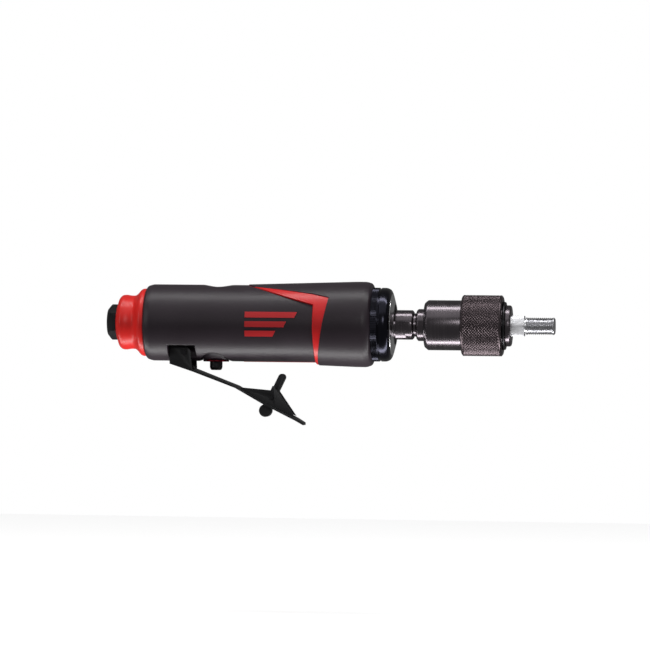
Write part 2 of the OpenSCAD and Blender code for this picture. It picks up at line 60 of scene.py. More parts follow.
class Sock:
    """A shader socket that adds Math nodes when it is used in arithmetic."""

    def __init__(self, graph: "Graph", socket: bpy.types.NodeSocket) -> None:
        """Keeps the socket and the graph that it belongs to."""
        self.graph = graph
        self.socket = socket

    def _math(self, operation: str, *values: "Sock | float", clamp: bool = False) -> "Sock":
        """Adds one Math node.

        Args:
            operation: the node's operation.
            values: its inputs, in order.
            clamp: whether the result is kept between 0 and 1.

        Returns:
            The node's result.
        """
        settings = {"operation": operation, "use_clamp": clamp}
        return self.graph.node("ShaderNodeMath", settings, *values)

    def __add__(self, other: "Sock | float") -> "Sock":
        """The sum."""
        return self._math("ADD", self, other)

    def __sub__(self, other: "Sock | float") -> "Sock":
        """The difference."""
        return self._math("SUBTRACT", self, other)

    def __rsub__(self, other: float) -> "Sock":
        """The reflected difference."""
        return self._math("SUBTRACT", other, self)

    def __mul__(self, other: "Sock | float") -> "Sock":
        """The product."""
        return self._math("MULTIPLY", self, other)

    __radd__ = __add__
    __rmul__ = __mul__

    def clamped(self) -> "Sock":
        """The socket kept between 0 and 1."""
        return self._math("ADD", self, 0.0, clamp=True)


class Graph:
    """The node tree of one material, with its Principled shader."""

    def __init__(self, name: str) -> None:
        """Makes the material with an empty tree, a shader and an output."""
        self.material = bpy.data.materials.new(name)
        self.material.use_nodes = True
        self.tree = self.material.node_tree
        self.tree.nodes.clear()
        self.shader = self.tree.nodes.new("ShaderNodeBsdfPrincipled")
        output = self.tree.nodes.new("ShaderNodeOutputMaterial")
        self.tree.links.new(self.shader.outputs["BSDF"], output.inputs["Surface"])
        coordinates = self.tree.nodes.new("ShaderNodeTexCoord")
        self.place = Sock(self, coordinates.outputs["Object"])

    def node(self, kind: str, settings: dict[str, object], *values: object,
             **named: object) -> Sock:
        """Adds any node, sets it up and feeds its sockets.

        Args:
            kind: the node's type.
            settings: its own settings, set first; "stops" fills a colour ramp.
            values: links or constants for the first inputs, in order.
            named: links or constants by input name, with _ for a space.

        Returns:
            The node's first output that is in use, or the one that settings["result"] names.
        """
        made = self.tree.nodes.new(kind)
        result = settings.get("result")
        for key, value in settings.items():
            if key == "stops":
                ramp = made.color_ramp.elements
                while len(ramp) > 1:
                    ramp.remove(ramp[-1])
                for i, (position, colour) in enumerate(value):
                    stop = ramp[0] if i == 0 else ramp.new(position)
                    stop.position = position
                    stop.color = colour
            elif key != "result":
                setattr(made, key, value)
        inputs = [s for s in made.inputs if s.enabled]
        pairs = list(zip(inputs, values))
        pairs += [(next(s for s in inputs if s.name == key.replace("_", " ")), value)
                  for key, value in named.items()]
        for socket, value in pairs:
            self.feed(socket, value)
        outputs = [s for s in made.outputs if s.enabled]
        return Sock(self, made.outputs[result] if result else outputs[0])

    def feed(self, socket: bpy.types.NodeSocket, value: object) -> None:
        """Links a Sock to a socket, or sets a constant on it."""
        if isinstance(value, Sock):
            self.tree.links.new(value.socket, socket)
        else:
            socket.default_value = value

    def shade(self, **inputs: object) -> bpy.types.Material:
        """Feeds the shader's inputs, named with _ for a space, and returns the material."""
        for key, value in inputs.items():
            self.feed(self.shader.inputs[key.replace("_", " ")], value)
        return self.material

    def noise(self, scale: float, detail: float = 3.0,
              stretch: Sequence[float] = (1, 1, 1)) -> Sock:
        """Noise in object space.

        Args:
            scale: its frequency, per metre.
            detail: its octaves.
            stretch: factors on the three axes, below 1 to draw the grain out.

        Returns:
            The noise, about 0.5 on average.
        """
        place = self.node("ShaderNodeMapping", {}, self.place, Scale=tuple(stretch))
        return self.node("ShaderNodeTexNoise", {"result": "Fac"}, Vector=place, Scale=scale,
                         Detail=detail)

    def blend(self, mask: Sock, low: Sequence[float], high: Sequence[float]) -> Sock:
        """A colour between two, by a mask."""
        stops = [(0.0, (*low, 1)), (1.0, (*high, 1))]
        return self.node("ShaderNodeValToRGB", {"stops": stops, "result": "Color"}, mask)

    def bump(self, height: Sock, depth: float, strength: float = 1.0) -> Sock:
        """A bumped normal: depth is in metres."""
        return self.node("ShaderNodeBump", {}, Strength=strength, Distance=depth, Height=height)


def tone(colour: Sequence[float], factor: float) -> tuple[float, float, float]:
    """A colour made lighter or darker by a factor."""
    return tuple(min(1.0, c * factor) for c in colour)


@dataclass(frozen=True)
class SoftTouch:
    """Charcoal overmould: a dull skin with a fine pebble and faint handling marks."""

    name: str = "soft_touch"
    colour: tuple[float, float, float] = (0.028, 0.019, 0.026)
    roughness: float = 0.40

    def make(self) -> bpy.types.Material:
        """Builds the material."""
        g = Graph(self.name)
        pebble = g.noise(2600, 2)
        cloud = g.noise(38, 4)
        return g.shade(
            Base_Color=g.blend(cloud, tone(self.colour, 0.78), tone(self.colour, 1.28)),
            Roughness=cloud * 0.14 + pebble * 0.08 + (self.roughness - 0.11),
            Normal=g.bump(pebble, 0.00006, 0.55),
            Specular_IOR_Level=0.42,
        )


@dataclass(frozen=True)
class Moulded:
    """Moulded plastic: even colour with slight flow marks and a fine spark texture."""

    name: str
    colour: tuple[float, float, float]
    roughness: float = 0.36
    grain: float = 0.5

    def make(self) -> bpy.types.Material:
        """Builds the material."""
        g = Graph(self.name)
        spark = g.noise(3200, 2)
        flow = g.noise(55, 3, (0.5, 1, 1))
        return g.shade(
            Base_Color=g.blend(flow, tone(self.colour, 0.86), tone(self.colour, 1.10)),
            Roughness=spark * 0.10 + flow * 0.10 + (self.roughness - 0.1),
            Normal=g.bump(spark, 0.00004, self.grain),
        )


class Lay(Enum):
    """Which way a metal's tool marks run."""

    TURNED = (1.0, 0.02, 0.02)
    DRAWN = (0.03, 1.0, 1.0)
    BLASTED = (1.0, 1.0, 1.0)


@dataclass(frozen=True)
class Metal:
    """Machined or coated steel: tool marks in one direction, stains and rubbed spots."""

    name: str
    colour: tuple[float, float, float]
    roughness: float
    lay: Lay = Lay.TURNED
    marks: float = 0.35
    metallic: float = 1.0
    wear: float = 0.12

    def make(self) -> bpy.types.Material:
        """Builds the material."""
        g = Graph(self.name)
        marks = g.noise(2400, 2, self.lay.value)
        stain = g.noise(90, 4)
        rub = ((g.noise(420, 5) - 0.56) * 6).clamped() * self.wear
        shade = (stain * 0.6 + marks * 0.4 + rub).clamped()
        return g.shade(
            Base_Color=g.blend(shade, tone(self.colour, 0.72), tone(self.colour, 1.30)),
            Metallic=self.metallic,
            Roughness=(marks * 0.16 + stain * 0.12 - rub * 0.3 + (self.roughness - 0.14)).clamped(),
            Normal=g.bump(marks, 0.00003, self.marks),
        )


@dataclass(frozen=True)
class Finishes:
    """Every finish on the tool, made once."""

    skin: SoftTouch = SoftTouch()
    red_core: Moulded = Moulded("red_core", (0.80, 0.016, 0.018), 0.34)
    red_ring: Moulded = Moulded("red_ring", (0.90, 0.018, 0.014), 0.36)
    red_mark: Moulded = Moulded("red_mark", (0.68, 0.020, 0.026), 0.42, 0.2)
    seal: Moulded = Moulded("seal_rubber", (0.012, 0.012, 0.012), 0.6)
    felt: Moulded = Moulded("felt", (0.30, 0.25, 0.18), 0.9, 1.0)
    # The retainer's red is darkened to maroon. This is painted shade for where it sits in the scoop
    # under the tool.
    painted_shade_red: Metal = Metal("red_painted_shade", (0.13, 0.010, 0.018), 0.34, marks=0.2)
    oxide: Metal = Metal("black_oxide", (0.035, 0.034, 0.037), 0.36, metallic=0.85)
    lever: Metal = Metal("lever_black", (0.016, 0.016, 0.018), 0.40, Lay.BLASTED, 0.5, 0.35)
    collar: Metal = Metal("collar_steel", (0.028, 0.028, 0.038), 0.20)
    cap: Metal = Metal("cap_steel", (0.80, 0.80, 0.81), 0.22)
    gunmetal: Metal = Metal("gunmetal", (0.150, 0.132, 0.145), 0.25, marks=0.08)
    knurled: Metal = Metal("knurled_steel", (0.125, 0.100, 0.108), 0.34, marks=0.2)
    zinc: Metal = Metal("zinc_steel", (0.66, 0.66, 0.68), 0.34, Lay.DRAWN)
    thread: Metal = Metal("thread_zinc", (0.60, 0.60, 0.62), 0.30)
    ground: Metal = Metal("ground_steel", (0.55, 0.56, 0.58), 0.28)
    brass: Metal = Metal("brass", (0.70, 0.50, 0.20), 0.30)
    fibre: Moulded = Moulded("vane_fibre", (0.30, 0.15, 0.06), 0.55)


# ------------------------------------------------------------------ mesh making

def point(x: float, r: float, angle: float) -> Vector:
    """A point at a station, a radius and an angle from the side towards the top, in metres."""
    return Vector((x, -r * math.cos(angle), r * math.sin(angle))) * MM


def object_of(name: str, bm: bmesh.types.BMesh, smooth: float = 35) -> bpy.types.Object:
    """Turns a bmesh into an object at the origin.

    Args:
        name: the piece's name.
        bm: the mesh, which is freed.
        smooth: edges sharper than this many degrees stay crisp.

    Returns:
        The linked object.
    """
    bmesh.ops.remove_doubles(bm, verts=bm.verts, dist=1e-7)
    bmesh.ops.recalc_face_normals(bm, faces=bm.faces)
    for face in bm.faces:
        face.smooth = True
    limit = math.radians(smooth)
    for edge in bm.edges:
        edge.smooth = len(edge.link_faces) == 2 and edge.calc_face_angle(0) < limit
    mesh = bpy.data.meshes.new(name)
    bm.to_mesh(mesh)
    bm.free()
    made = bpy.data.objects.new(name, mesh)
    bpy.context.scene.collection.objects.link(made)
    return made


def rounded(corners: Profile, radius: float, steps: int = 4) -> Profile:
    """Rounds the corners of an open outline.

    Args:
        corners: its points, as station and radius; the first and last stay.
        radius: how far each round reaches along its sides.
        steps: segments in each round.

    Returns:
        The outline with each inner corner taken up by a curve.
    """
    out = [corners[0]]
    for before, corner, after in zip(corners, corners[1:], corners[2:]):
        b, c, a = Vector(before), Vector(corner), Vector(after)
        reach = min(radius, (b - c).length * 0.45, (a - c).length * 0.45)
        start, end = c + (b - c).normalized() * reach, c + (a - c).normalized() * reach
        for i in range(steps + 1):
            t = i / steps
            out.append(tuple(start.lerp(c, t).lerp(c.lerp(end, t), t)))
    return out + [corners[-1]]


def lathe(name: str, outline: Profile | Callable[[float], Profile], sectors: int = 192,
          closed: bool = True, smooth: float = 35) -> bpy.types.Object:
    """Turns an outline about the tool's axis.

    Args:
        name: the piece's name.
        outline: stations and radii, or a function that gives them for an angle.
        sectors: faces round the axis.
        closed: whether the outline's last point joins its first.
        smooth: the crisp edge limit, in degrees.

    Returns:
        The object.
    """
    bm = bmesh.new()
    rings = []
    for i in range(sectors):
        angle = 2 * math.pi * i / sectors
        row = outline(angle) if callable(outline) else outline
        rings.append([bm.verts.new(point(x, r, angle)) for x, r in row])
    count = len(rings[0])
    for i in range(sectors):
        a, b = rings[i], rings[(i + 1) % sectors]
        for j in range(count if closed else count - 1):
            k = (j + 1) % count
            if a[j].co.yz.length < 1e-9 and a[k].co.yz.length < 1e-9:
                continue
            bm.faces.new([a[j], a[k], b[k], b[j]])
    bmesh.ops.remove_doubles(bm, verts=bm.verts, dist=1e-7)
    bmesh.ops.dissolve_degenerate(bm, dist=1e-8, edges=bm.edges)
    return object_of(name, bm, smooth)


def across(name: str, outline: Profile, y0: float, y1: float) -> bpy.types.Object:
    """A plate with an outline of x and z, from y0 to y1 across the tool."""
    bm = bmesh.new()
    sides = [[bm.verts.new(Vector((x, y, z)) * MM) for x, z in outline] for y in (y0, y1)]
    bm.faces.new(sides[0])
    bm.faces.new(sides[1])
    for i in range(len(outline)):
        j = (i + 1) % len(outline)
        bm.faces.new([sides[0][i], sides[0][j], sides[1][j], sides[1][i]])
    return object_of(name, bm)


def drum(name: str, centre: Sequence[float], axis: str, radius: float, half: float,
         sides: int = 64) -> bpy.types.Object:
    """A plain cutting cylinder along one axis, in millimetres."""
    bm = bmesh.new()
    bmesh.ops.create_cone(bm, cap_ends=True, segments=sides, radius1=radius * MM,
                          radius2=radius * MM, depth=2 * half * MM)
    quarter = Matrix.Rotation(math.pi / 2, 4, "X")
    turn = {"X": quarter @ Matrix.Rotation(math.pi / 2, 4, "Y"), "Y": quarter,
            "Z": Matrix.Identity(4)}[axis]
    bm.transform(Matrix.Translation(Vector(centre) * MM) @ turn)
    return object_of(name, bm)


def turned(piece: bpy.types.Object, degrees: float) -> bpy.types.Object:
    """Turns a piece about the tool's axis."""
    piece.data.transform(Matrix.Rotation(math.radians(degrees), 4, "X"))
    return piece


def brick(name: str, low: Sequence[float], high: Sequence[float]) -> bpy.types.Object:
    """A plain cutting block between two corners, in millimetres."""
    outline = [(low[0], low[2]), (high[0], low[2]), (high[0], high[2]), (low[0], high[2])]
    return across(name, outline, low[1], high[1])


def applied(piece: bpy.types.Object) -> bpy.types.Object:
    """Takes the result of a piece's modifiers as its mesh."""
    bpy.context.view_layer.update()
    evaluated = piece.evaluated_get(bpy.context.evaluated_depsgraph_get())
    mesh = bpy.data.meshes.new_from_object(evaluated)
    piece.modifiers.clear()
    piece.data = mesh
    mesh.name = piece.name
    return piece


def combine(piece: bpy.types.Object, other: bpy.types.Object,
            how: str = "DIFFERENCE") -> bpy.types.Object:
    """Cuts, joins or crosses a piece with another solid, which is used up."""
    cut = piece.modifiers.new("cut", "BOOLEAN")
    cut.operation = how
    cut.solver = "EXACT"
    cut.object = other
    applied(piece)
    bpy.data.objects.remove(other)
    return piece


def bevelled(piece: bpy.types.Object, width: float, segments: int = 2,
             limit: float = 32) -> bpy.types.Object:
    """Rounds a piece's sharp edges by a width in millimetres."""
    bevel = piece.modifiers.new("bevel", "BEVEL")
    bevel.width = width * MM
    bevel.segments = segments
    bevel.limit_method = "ANGLE"
    bevel.angle_limit = math.radians(limit)
    bevel.harden_normals = False
    applied(piece)
    bm = bmesh.new()
    bm.from_mesh(piece.data)
    crisp = math.radians(38)
    for face in bm.faces:
        face.smooth = True
    for edge in bm.edges:
        edge.smooth = len(edge.link_faces) == 2 and edge.calc_face_angle(0) < crisp
    bm.to_mesh(piece.data)
    bm.free()
    return piece


def fit_out(piece: bpy.types.Object, finish: bpy.types.Material, body: str, slot: str,
            *nodes: str) -> bpy.types.Object:
    """Gives a finished piece its material, its body and the nodes that it stands for."""
    piece.data.materials.clear()
    piece.data.materials.append(finish)
    for polygon in piece.data.polygons:
        polygon.material_index = 0
    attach(piece, body)
    if nodes:
        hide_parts(*nodes)
    log.info("%s: %d faces on %s", piece.name, len(piece.data.polygons), body)
    return piece


# ------------------------------------------------------------------ geometry nodes

class Tree:
    """A Geometry Nodes tree with named inputs for its sizes."""

    def __init__(self, name: str, sizes: Sequence[tuple[str, str]]) -> None:
        """Makes the tree with its inputs, and a material input at the end.

        Args:
            name: the tree's name.
            sizes: each input's name and socket type.
        """
        self.group = bpy.data.node_groups.new(name, "GeometryNodeTree")
        face = self.group.interface
        face.new_socket("Geometry", in_out="OUTPUT", socket_type="NodeSocketGeometry")
        for label, kind in (*sizes, ("Finish", "NodeSocketMaterial")):
            face.new_socket(label, in_out="INPUT", socket_type=kind)
        self.inputs = self.node("NodeGroupInput")
        self.output = self.node("NodeGroupOutput")

    def node(self, kind: str, **settings: object) -> bpy.types.Node:
        """Adds a node and sets it up."""
        made = self.group.nodes.new(kind)
        for key, value in settings.items():
            setattr(made, key, value)
        return made

    def link(self, source: bpy.types.NodeSocket, target: bpy.types.NodeSocket) -> None:
        """Joins two sockets."""
        self.group.links.new(source, target)

    def size(self, label: str) -> bpy.types.NodeSocket:
        """One of the named inputs."""
        return self.inputs.outputs[label]

    def maths(self, operation: str, *values: object) -> bpy.types.NodeSocket:
        """A Math node's result, from sockets or numbers."""
        made = self.node("ShaderNodeMath", operation=operation)
        for socket, value in zip(made.inputs, values):
            if isinstance(value, bpy.types.NodeSocket):
                self.link(value, socket)
            else:
                socket.default_value = value
        return made.outputs[0]

    def finish(self, geometry: bpy.types.NodeSocket) -> None:
        """Ends the tree with real instances and the material."""
        real = self.node("GeometryNodeRealizeInstances")
        paint = self.node("GeometryNodeSetMaterial")
        self.link(geometry, real.inputs[0])
        self.link(real.outputs[0], paint.inputs["Geometry"])
        self.link(self.size("Finish"), paint.inputs["Material"])
        self.link(paint.outputs[0], self.output.inputs[0])

    def grow(self, name: str, finish: bpy.types.Material, **sizes: float) -> bpy.types.Object:
        """Runs the tree and keeps its result as a plain mesh.

        Args:
            name: the new piece's name.
            finish: its material.
            sizes: the inputs' values, by name with _ for a space.

        Returns:
            The object.
        """
        holder = bpy.data.objects.new(name, bpy.data.meshes.new(name))
        bpy.context.scene.collection.objects.link(holder)
        run = holder.modifiers.new("grow", "NODES")
        run.node_group = self.group
        values = {key.replace("_", " "): value for key, value in sizes.items()} | {"Finish": finish}
        for item in self.group.interface.items_tree:
            if item.in_out == "INPUT" and item.name in values:
                run[item.identifier] = values[item.name]
        return applied(holder)


def ring_tree() -> Tree:
    """A row of small copies of a block round the tool's axis: ribs or flutes.

    Returns:
        The tree, with inputs Count, Radius, Station, Length, Width and Height.
    """
    tree = Tree("ring_of_ribs", [("Count", "NodeSocketInt")] + [
        (n, "NodeSocketFloat") for n in ("Radius", "Station", "Length", "Width", "Height")])
    circle = tree.node("GeometryNodeMeshCircle", fill_type="NONE")
    tree.link(tree.size("Count"), circle.inputs["Vertices"])
    tree.link(tree.size("Radius"), circle.inputs["Radius"])
    block = tree.node("GeometryNodeMeshCylinder", fill_type="NGON")
    block.inputs["Vertices"].default_value = 6
    block.inputs["Radius"].default_value = 1.0
    block.inputs["Depth"].default_value = 1.0
    shape = tree.node("ShaderNodeCombineXYZ")
    tree.link(tree.size("Height"), shape.inputs["X"])
    tree.link(tree.size("Width"), shape.inputs["Y"])
    tree.link(tree.size("Length"), shape.inputs["Z"])
    sized = tree.node("GeometryNodeTransform")
    tree.link(block.outputs["Mesh"], sized.inputs["Geometry"])
    tree.link(shape.outputs[0], sized.inputs["Scale"])
    index = tree.node("GeometryNodeInputIndex")
    turn = tree.maths("MULTIPLY", index.outputs[0],
                      tree.maths("DIVIDE", 2 * math.pi, tree.size("Count")))
    spin = tree.node("ShaderNodeCombineXYZ")
    tree.link(turn, spin.inputs["Z"])
    rows = tree.node("GeometryNodeInstanceOnPoints")
    tree.link(circle.outputs["Mesh"], rows.inputs["Points"])
    tree.link(sized.outputs[0], rows.inputs["Instance"])
    tree.link(spin.outputs[0], rows.inputs["Rotation"])
    laid = tree.node("GeometryNodeTransform")
    laid.inputs["Rotation"].default_value = (0, math.pi / 2, 0)
    place = tree.node("ShaderNodeCombineXYZ")
    tree.link(tree.size("Station"), place.inputs["X"])
    tree.link(place.outputs[0], laid.inputs["Translation"])
    tree.link(rows.outputs[0], laid.inputs["Geometry"])
    tree.finish(laid.outputs[0])
    return tree


def rolled_tree(name: str) -> Tree:
    """A band rolled round the tool's axis, its surface raised by crossing or single helices.

    The surface is a grid of station and angle. Its height follows two families of sloping
    ridges, which make diamonds; with Hands at 0 one family is left, which makes a thread.

    Args:
        name: the tree's name.

    Returns:
        The tree, with inputs Columns, Sectors, Start, Length, Radius, Height, Starts, Turns,
        Fade and Hands.
    """
    tree = Tree(name, [("Columns", "NodeSocketInt"), ("Sectors", "NodeSocketInt")] + [
        (n, "NodeSocketFloat") for n in ("Start", "Length", "Radius", "Height", "Starts", "Turns",
                                         "Fade", "Hands")])
    grid = tree.node("GeometryNodeMeshGrid")
    grid.inputs["Size X"].default_value = 1.0
    grid.inputs["Size Y"].default_value = 1.0
    tree.link(tree.size("Columns"), grid.inputs["Vertices X"])
    tree.link(tree.size("Sectors"), grid.inputs["Vertices Y"])
    place = tree.node("GeometryNodeInputPosition")
    split = tree.node("ShaderNodeSeparateXYZ")
    tree.link(place.outputs[0], split.inputs[0])
    along = tree.maths("ADD", split.outputs["X"], 0.5)
    angle = tree.maths("MULTIPLY", tree.maths("ADD", split.outputs["Y"], 0.5), 2 * math.pi)
    lead = tree.maths("MULTIPLY", tree.maths("MULTIPLY", along, tree.size("Turns")), 2 * math.pi)
    wound = tree.maths("MULTIPLY", angle, tree.size("Starts"))

    def ridge(phase: bpy.types.NodeSocket) -> bpy.types.NodeSocket:
        """A V-shaped ridge, 1 at its crest and 0 at its root."""
        turns = tree.maths("DIVIDE", phase, 2 * math.pi)
        return tree.maths("PINGPONG", tree.maths("MULTIPLY", turns, 2.0), 1.0)

    right = ridge(tree.maths("ADD", lead, wound))
    left = ridge(tree.maths("SUBTRACT", lead, wound))
    both = tree.maths("MINIMUM", right, left)
    mixed = tree.node("ShaderNodeMix", data_type="FLOAT")
    tree.link(tree.size("Hands"), mixed.inputs["Factor"])
    tree.link(right, mixed.inputs["A"])
    tree.link(both, mixed.inputs["B"])
    ends = tree.maths("MINIMUM", along, tree.maths("SUBTRACT", 1.0, along))
    fade = tree.node("ShaderNodeClamp")
    tree.link(tree.maths("MULTIPLY", ends, tree.size("Fade")), fade.inputs["Value"])
    below = tree.maths("SUBTRACT", mixed.outputs[0], 1.0)
    depth = tree.maths("MULTIPLY", below, tree.size("Height"))
    reach = tree.maths("ADD", tree.size("Radius"), tree.maths("MULTIPLY", depth, fade.outputs[0]))
    out = tree.node("ShaderNodeCombineXYZ")
    tree.link(tree.maths("ADD", tree.maths("MULTIPLY", along, tree.size("Length")),
                         tree.size("Start")), out.inputs["X"])
    tree.link(tree.maths("MULTIPLY", reach, tree.maths("COSINE", angle)), out.inputs["Y"])
    tree.link(tree.maths("MULTIPLY", reach, tree.maths("SINE", angle)), out.inputs["Z"])
    rolled = tree.node("GeometryNodeSetPosition")
    tree.link(grid.outputs["Mesh"], rolled.inputs["Geometry"])
    tree.link(out.outputs[0], rolled.inputs["Position"])
    weld = tree.node("GeometryNodeMergeByDistance")
    weld.inputs["Distance"].default_value = 1e-6
    tree.link(rolled.outputs[0], weld.inputs[0])
    tree.finish(weld.outputs[0])
    return tree


def capped(band: bpy.types.Object, start: Profile, end: Profile) -> bpy.types.Object:
    """Closes a rolled band with turned ends.

    Args:
        band: an open band whose two rims are circles about the axis.
        start: stations and radii from the first rim inwards.
        end: stations and radii from the last rim inwards; it may end where start ends.

    Returns:
        The band as a closed piece.
    """
    bm = bmesh.new()
    bm.from_mesh(band.data)
    middle = sum(v.co.x for v in bm.verts) / len(bm.verts)
    for low, outline in ((True, start), (False, end)):
        rim = [e for e in bm.edges if e.is_boundary and (e.verts[0].co.x < middle) == low]
        for x, r in outline:
            grown = bmesh.ops.extrude_edge_only(bm, edges=rim)["geom"]
            fresh = {g for g in grown if isinstance(g, bmesh.types.BMVert)}
            rim = [g for g in grown if isinstance(g, bmesh.types.BMEdge) and set(g.verts) <= fresh]
            for vert in fresh:
                across_axis = vert.co.yz.normalized() * max(r, 0.0) * MM
                vert.co = (x * MM, across_axis.x, across_axis.y)
    name = band.name
    bpy.data.objects.remove(band)
    return object_of(name, bm, 30)


def along_line(line: Profile, z: float) -> float:
    """The station of a line at a height; the line runs from high to low."""
    if z >= line[0][1]:
        return line[0][0]
    for (x0, z0), (x1, z1) in zip(line, line[1:]):
        if z >= z1:
            return x0 + (x1 - x0) * (z - z0) / (z1 - z0)
    return line[-1][0]


def spread(start: float, end: float, count: int) -> list[float]:
    """Evenly spaced values from start to end."""
    return [start + (end - start) * i / count for i in range(count + 1)]


def soft_min(a: float, b: float, blend: float) -> float:
    """The smaller of two values, rounded where they meet."""
    h = max(blend - abs(a - b), 0.0) / blend
    return min(a, b) - h * h * blend / 4


# ------------------------------------------------------------------ sub-assemblies

@dataclass
class Grip:
    """The rubber-covered body: rear panel, front zone, red band, red keel strip."""

    finishes: Finishes
    start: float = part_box("grip_skin")[0].x / MM
    end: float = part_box("grip_skin")[1].x / MM
    panel_r: float = 21.1
    front_r: float = 23.5
    core_r: float = 19.65
    sectors: int = 288
    edge: float = 0.45
    pocket: tuple[float, float, float] = (35.2, 51.0, -12.3)
    pocket_y: float = 8.3
    hole_r: float = 6.3
    panel_edge: Profile = field(default_factory=lambda: [
        (77.8, 21.2), (102.6, 13.9), (116.4, 10.1), (116.4, -2.5), (116.7, -15.1), (116.5, -23)])
    front_edge: Profile = field(default_factory=lambda: [
        (78.0, 21.6), (97.8, 19.1), (115.2, 16.5), (124.8, 14.4), (121.9, 0.3), (119.7, -12.4),
        (117.7, -23)])
    thumb: tuple[float, float, float] = (61.5, 44.0, 24.0)
    button_x: float = 60.4
    seat_r: float = 9.3
    thick_r: float = 15.7
    thick: tuple[float, float] = (30.0, 73.0)
    fine: tuple[float, float] = (48.0, 73.0)

    def panel_end(self, angle: float) -> float:
        """Where the rear panel meets the red band."""
        return along_line(self.panel_edge, self.panel_r * math.sin(angle))

    def front_start(self, angle: float) -> float:
        """Where the front zone meets the red band."""
        return max(along_line(self.front_edge, 22.4 * math.sin(angle)), self.panel_end(angle) + 0.1)

    def hollowed(self, x: float, angle: float, r: float) -> float:
        """Lowers a radius into the thumb dimple on top."""
        up = math.sin(angle)
        at, height, reach = self.thumb
        if up < 0.2 or abs(x - at) >= reach:
            return r
        floor = height - math.sqrt(reach ** 2 - (x - at) ** 2)
        return soft_min(r, floor / up, 0.6)

    def inside(self, x: float, angle: float) -> float:
        """The panel's inner radius: it is thick round the lever's pockets and the button."""
        low = math.sin(angle) < -0.45 and self.thick[0] <= x <= self.thick[1]
        return self.thick_r if low else self.core_r

    def finger_scoop(self) -> bpy.types.Object:
        """The cutter for the hollow on each side of the button's boss."""
        cutter = drum("scoop", (self.button_x, 0, -26.1), "Y", 9.9, 30, 160)
        return combine(cutter, drum("boss", (self.button_x, 0, -20), "Z", self.seat_r, 12, 160))

    def panel_outline(self, angle: float) -> Profile:
        """The rear panel's closed outline at one angle."""
        stop = self.panel_end(angle)
        rear = rounded([(self.start, 18.0), (self.start, 19.3), (22.7, 20.3), (25.4, self.panel_r),
                        (27, self.panel_r)], 1.6, 4)[1:-1]
        columns = spread(28, self.fine[0], 20) + spread(*self.fine, 70)[1:]
        columns += spread(self.fine[1], stop - self.edge, 22)[1:]
        outer = rear + [(x, self.hollowed(x, angle, self.panel_r)) for x in columns]
        lip = rounded([(stop - self.edge, self.panel_r), (stop, self.panel_r), (stop, self.core_r)],
                      self.edge * 1.6, 3)[1:]
        inner = [(min(x, stop - 0.1), min(self.inside(x, angle),
                                          self.hollowed(x, angle, self.panel_r) - 1.0))
                 for x in reversed(columns)] + [(26.5, self.core_r)]
        return outer + lip + inner + [(26.0, 15.6), (self.start, 15.6), (self.start, 18.0)]

    def front_radius(self, x: float) -> float:
        """The front zone's radius at a station."""
        return self.panel_r + 0.5 + (self.front_r - self.panel_r - 0.5) * (x - 81) / (139 - 81)

    def front_outline(self, angle: float) -> Profile:
        """The front zone's closed outline at one angle."""
        start = self.front_start(angle)
        high = self.front_radius(start)
        lip = rounded([(start, self.core_r), (start, high), (start + 1.2, high)], 0.5, 3)[:-1]
        columns = spread(start + 1.2, 138.5, 26)
        nose = rounded([(138.5, self.front_radius(138.5)), (144.4, self.front_r), (147.2, 22.5),
                        (self.end, 20.5)], 3.4, 6)[1:]
        outer = lip + [(x, self.front_radius(x)) for x in columns] + nose
        return outer + [(146.95, 20.5), (146.9, self.core_r), (140, self.core_r)]

    def band_outline(self, angle: float) -> Profile:
        """The red band's closed outline at one angle."""
        start, stop = self.panel_end(angle), self.front_start(angle)
        low, high = (21.15 + 1.75 * (x - 70) / 70 for x in (start, stop))
        outer = [(start + 0.05, self.core_r), (start + 0.05, low - 0.35),
                 (start + 0.35, low - 0.05)]
        outer += [(start + 0.4 + (stop - start) * t, low + (high - low) * t)
                  for t in spread(0, 1, 6)]
        return outer + [(stop + 0.6, self.core_r)]

    def build(self) -> None:
        """Builds and dresses the grip's pieces."""
        f = self.finishes
        panel = lathe("grip_rear_panel", self.panel_outline, self.sectors, smooth=30)
        x0, x1, ceiling = self.pocket
        for low, high in ((-30, -self.pocket_y), (self.pocket_y, 30)):
            combine(panel, brick("pocket", (x0, low, -30), (x1, high, ceiling)))
        combine(panel, self.finger_scoop())
        seat = drum("boss_seat", (self.button_x, 0, -23.25), "Z", self.seat_r + 0.1, 3, 160)
        combine(panel, seat)
        combine(panel, drum("button_hole", (self.button_x, 0, -17), "Z", self.hole_r, 6))
        fit_out(panel, f.skin.make(), "housing", "skin_rubber", "grip_skin")
        front = lathe("grip_front_zone", self.front_outline, self.sectors, smooth=30)
        fit_out(front, panel.data.materials[0], "housing", "skin_rubber")
        band = lathe("grip_red_band", self.band_outline, self.sectors, smooth=30)
        fit_out(band, f.red_core.make(), "housing", "red_core")
        keel = across("grip_keel_strip", rounded([(76, -20.4), (76, -21.25), (116.6, -21.25),
                                                  (116.6, -20.4)], 0.5, 3), -2, 2)
        fit_out(bevelled(keel, 0.25), band.data.materials[0], "housing", "red_core")
        core = lathe("grip_core_shell", [(26.1, 15.6), (26.1, 19.55), (146.7, 19.55), (146.7, 18.7),
                                         (70.1, 18.7), (70, 15.6)], 96)
        x0, x1 = self.thick
        combine(core, brick("lever_gap", (x0 - 0.5, -30, -30), (x1 + 0.5, 30, -6.8)))
        fit_out(core, band.data.materials[0], "housing", "red_core", "grip_core")


